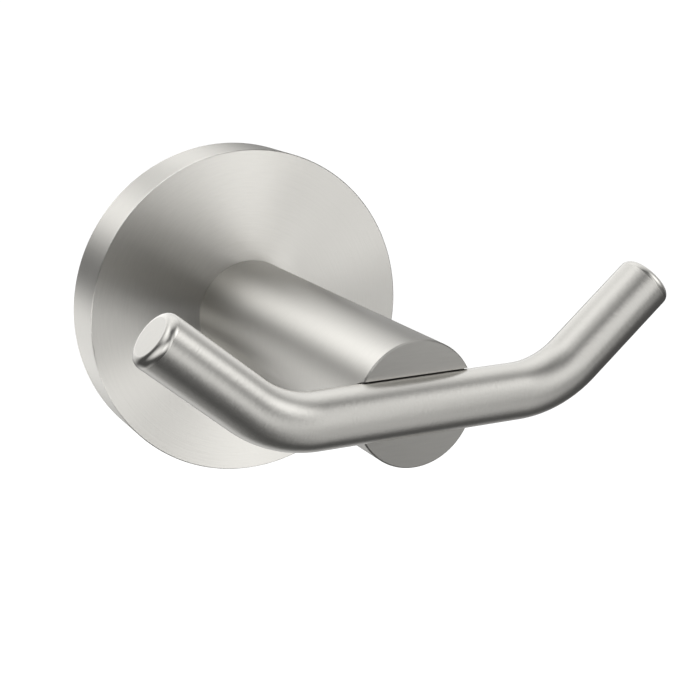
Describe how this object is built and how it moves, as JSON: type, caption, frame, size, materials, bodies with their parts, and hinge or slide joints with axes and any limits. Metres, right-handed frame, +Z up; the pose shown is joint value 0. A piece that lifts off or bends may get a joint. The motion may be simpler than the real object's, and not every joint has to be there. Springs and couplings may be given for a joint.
{
  "type": "double robe hook",
  "caption": "Wall-mounted double robe hook: round flange, straight round post and a bent round bar whose upturned arms hang robes or towels; satin metal, concealed fixing.",
  "frame": {"origin": "on the wall plane, at the centre of the flange and the post's axis", "axes": "+X to the right along the hook bar, +Y into the wall, +Z up; the post stands out along -Y"},
  "size_m": [0.0788, 0.0724, 0.055],
  "materials": {
    "satin_steel": "satin brushed",
    "plated_steel": "zinc plated"
  },
  "bodies": {
    "root": {"wall_flange": "satin_steel", "post": "satin_steel", "hook_bar": "satin_steel", "draw_bolt": "plated_steel", "flat_washer": "plated_steel", "spring_washer": "plated_steel", "wall_bracket": "plated_steel", "set_screw": "plated_steel"}
  },
  "joints": []
}
